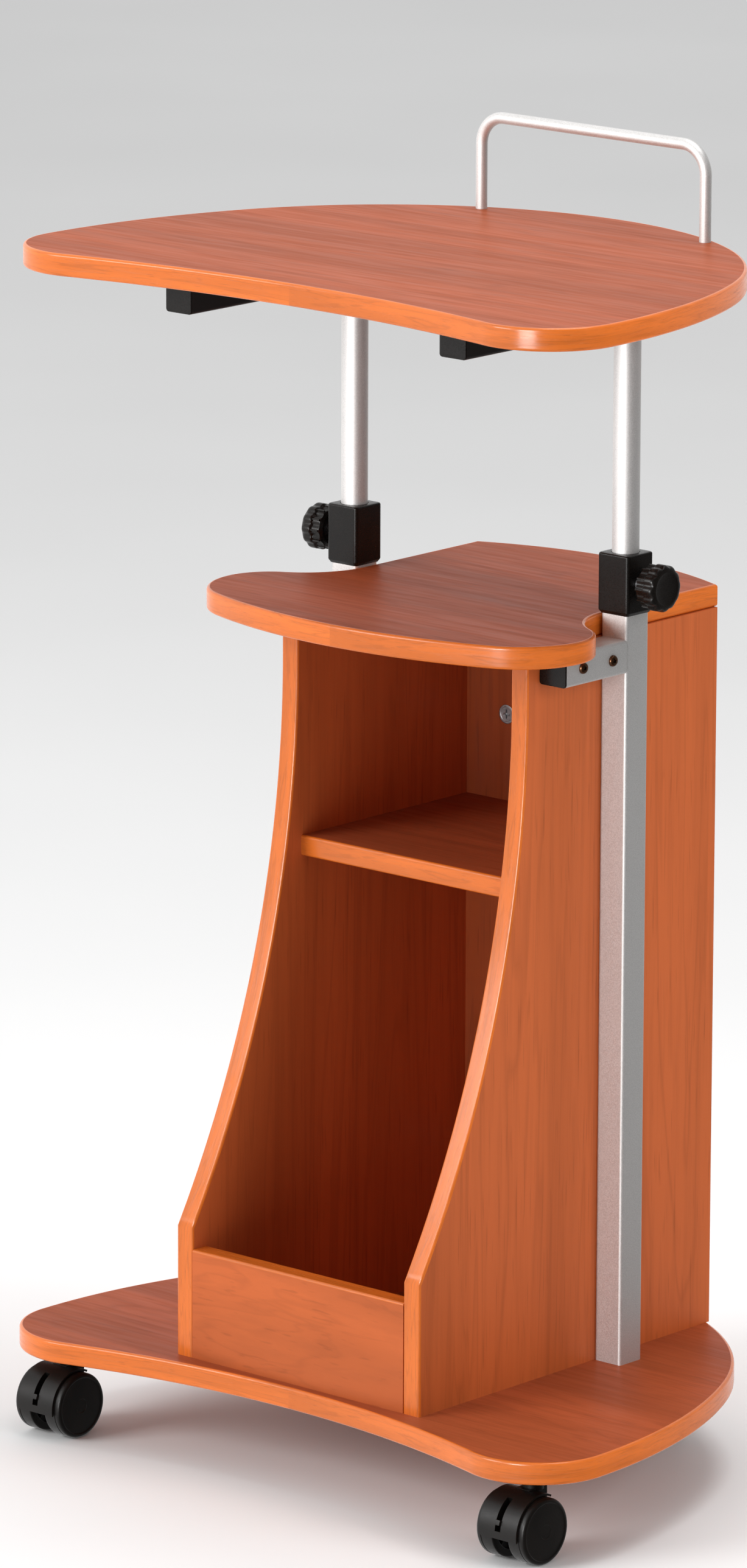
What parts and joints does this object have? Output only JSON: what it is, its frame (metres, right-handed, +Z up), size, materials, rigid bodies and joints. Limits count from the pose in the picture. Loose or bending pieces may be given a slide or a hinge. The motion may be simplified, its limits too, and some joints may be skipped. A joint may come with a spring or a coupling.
{
  "type": "lectern podium",
  "caption": "Lectern podium on casters: narrow open cabinet with a curved front between two telescopic legs, and a lifting worktop with a rear guard rail.",
  "frame": {"origin": "on the floor under the middle of the overall width and depth", "axes": "+X to the user's right as seen from the front, +Y from the front to the back, +Z up"},
  "size_m": [0.567, 0.408, 1.0015],
  "materials": {
    "board_top": "matt cherry laminate, fine grain across the width",
    "board_panel": "satin cherry laminate, grain upright",
    "board_edge": "satin orange cherry edge strip with a rounded arris",
    "silver_paint": "satin silver powder coat",
    "black_paint": "satin black powder coat",
    "black_plastic": "satin black moulded plastic",
    "caster_plastic": "satin black nylon",
    "caster_tyre": "satin black nylon tread",
    "bronze_screw": "bronze-plated pan-head screw",
    "zinc": "dull die-cast zinc",
    "steel": "bright zinc-plated steel",
    "nylon": "natural nylon",
    "beech": "ribbed beech dowel"
  },
  "bodies": {
    "frame": {"base_board": "board_top", "base_edging": "board_edge", "left_side_panel": "board_panel", "right_side_panel": "board_panel", "cabinet_edgings": "board_edge", "back_panel": "board_panel", "shelf": "board_top", "front_board": "board_panel", "middle_board": "board_top", "middle_edging": "board_edge", "left_leg": "silver_paint", "right_leg": "silver_paint", "left_bracket": "silver_paint", "right_bracket": "silver_paint", "bracket_end_caps": "black_plastic", "bracket_screws": "bronze_screw", "left_collar": "black_plastic", "right_collar": "black_plastic", "collar_inserts": "zinc", "leg_foot_plugs": "black_plastic", "leg_bolts": "steel", "cam_locks": "zinc", "cam_dowels": "steel", "board_dowels": "beech", "panel_screws": "steel", "caster_sockets": "zinc", "caster_stems": "steel"},
    "lift": {"worktop": "board_top", "worktop_edging": "board_edge", "left_post": "silver_paint", "right_post": "silver_paint", "post_plugs": "nylon", "left_rail": "black_paint", "right_rail": "black_paint", "rail_end_caps": "black_plastic", "rail_screws": "steel", "guard_rail": "silver_paint", "guard_rail_screws": "steel"},
    "left_stud": {"left_knob_stud": "steel"},
    "left_knob": {"left_knob": "black_plastic"},
    "right_stud": {"right_knob_stud": "steel"},
    "right_knob": {"right_knob": "black_plastic"},
    "front_left_caster": {"front_left_housing": "caster_plastic", "front_left_axle": "steel"},
    "front_left_outer_wheel": {"front_left_outer_wheel": "caster_tyre"},
    "front_left_inner_wheel": {"front_left_inner_wheel": "caster_tyre"},
    "front_left_brake_lever": {"front_left_brake": "caster_plastic"},
    "front_right_caster": {"front_right_housing": "caster_plastic", "front_right_axle": "steel"},
    "front_right_outer_wheel": {"front_right_outer_wheel": "caster_tyre"},
    "front_right_inner_wheel": {"front_right_inner_wheel": "caster_tyre"},
    "front_right_brake_lever": {"front_right_brake": "caster_plastic"},
    "rear_left_caster": {"rear_left_housing": "caster_plastic", "rear_left_axle": "steel"},
    "rear_left_outer_wheel": {"rear_left_outer_wheel": "caster_tyre"},
    "rear_left_inner_wheel": {"rear_left_inner_wheel": "caster_tyre"},
    "rear_right_caster": {"rear_right_housing": "caster_plastic", "rear_right_axle": "steel"},
    "rear_right_outer_wheel": {"rear_right_outer_wheel": "caster_tyre"},
    "rear_right_inner_wheel": {"rear_right_inner_wheel": "caster_tyre"}
  },
  "joints": [
    {"name": "worktop_lift", "type": "slide", "parent": "frame", "child": "lift", "axis": [0, 0, 1], "range_m": [-0.165, 0.205]},
    {"name": "left_stud_travel", "type": "slide", "parent": "frame", "child": "left_stud", "axis": [-1, 0, 0], "range_m": [0, 0.002]},
    {"name": "left_knob_turn", "type": "hinge", "parent": "left_stud", "child": "left_knob", "pos_m": [-0.1502, 0.0516, 0.6865], "axis": [-1, 0, 0], "range_deg": [0, 540]},
    {"name": "right_stud_travel", "type": "slide", "parent": "frame", "child": "right_stud", "axis": [1, 0, 0], "range_m": [0, 0.002]},
    {"name": "right_knob_turn", "type": "hinge", "parent": "right_stud", "child": "right_knob", "pos_m": [0.1502, 0.0516, 0.6865], "axis": [1, 0, 0], "range_deg": [0, 540]},
    {"name": "front_left_swivel", "type": "hinge", "parent": "frame", "child": "front_left_caster", "pos_m": [-0.2345, -0.163, 0.0525], "axis": [0, 0, 1], "continuous": true},
    {"name": "front_left_outer_wheel_roll", "type": "hinge", "parent": "front_left_caster", "child": "front_left_outer_wheel", "pos_m": [-0.2345, -0.175, 0.0255], "axis": [1, 0, 0], "continuous": true},
    {"name": "front_left_inner_wheel_roll", "type": "hinge", "parent": "front_left_caster", "child": "front_left_inner_wheel", "pos_m": [-0.2345, -0.175, 0.0255], "axis": [1, 0, 0], "continuous": true},
    {"name": "front_left_brake_press", "type": "hinge", "parent": "front_left_caster", "child": "front_left_brake_lever", "pos_m": [-0.2345, -0.18763, 0.03687], "axis": [1, 0, 0], "range_deg": [0, 9]},
    {"name": "front_right_swivel", "type": "hinge", "parent": "frame", "child": "front_right_caster", "pos_m": [0.2345, -0.163, 0.0525], "axis": [0, 0, 1], "continuous": true},
    {"name": "front_right_outer_wheel_roll", "type": "hinge", "parent": "front_right_caster", "child": "front_right_outer_wheel", "pos_m": [0.2345, -0.175, 0.0255], "axis": [1, 0, 0], "continuous": true},
    {"name": "front_right_inner_wheel_roll", "type": "hinge", "parent": "front_right_caster", "child": "front_right_inner_wheel", "pos_m": [0.2345, -0.175, 0.0255], "axis": [1, 0, 0], "continuous": true},
    {"name": "front_right_brake_press", "type": "hinge", "parent": "front_right_caster", "child": "front_right_brake_lever", "pos_m": [0.2345, -0.18763, 0.03687], "axis": [1, 0, 0], "range_deg": [0, 9]},
    {"name": "rear_left_swivel", "type": "hinge", "parent": "frame", "child": "rear_left_caster", "pos_m": [-0.104, 0.137, 0.0525], "axis": [0, 0, 1], "continuous": true},
    {"name": "rear_left_outer_wheel_roll", "type": "hinge", "parent": "rear_left_caster", "child": "rear_left_outer_wheel", "pos_m": [-0.104, 0.125, 0.0255], "axis": [1, 0, 0], "continuous": true},
    {"name": "rear_left_inner_wheel_roll", "type": "hinge", "parent": "rear_left_caster", "child": "rear_left_inner_wheel", "pos_m": [-0.104, 0.125, 0.0255], "axis": [1, 0, 0], "continuous": true},
    {"name": "rear_right_swivel", "type": "hinge", "parent": "frame", "child": "rear_right_caster", "pos_m": [0.104, 0.137, 0.0525], "axis": [0, 0, 1], "continuous": true},
    {"name": "rear_right_outer_wheel_roll", "type": "hinge", "parent": "rear_right_caster", "child": "rear_right_outer_wheel", "pos_m": [0.104, 0.125, 0.0255], "axis": [1, 0, 0], "continuous": true},
    {"name": "rear_right_inner_wheel_roll", "type": "hinge", "parent": "rear_right_caster", "child": "rear_right_inner_wheel", "pos_m": [0.104, 0.125, 0.0255], "axis": [1, 0, 0], "continuous": true}
  ],
  "couplings": [
    {"joint": "left_stud_travel", "follows": "left_knob_turn", "m_per_rad": 0.00019894},
    {"joint": "right_stud_travel", "follows": "right_knob_turn", "m_per_rad": 0.00019894}
  ]
}
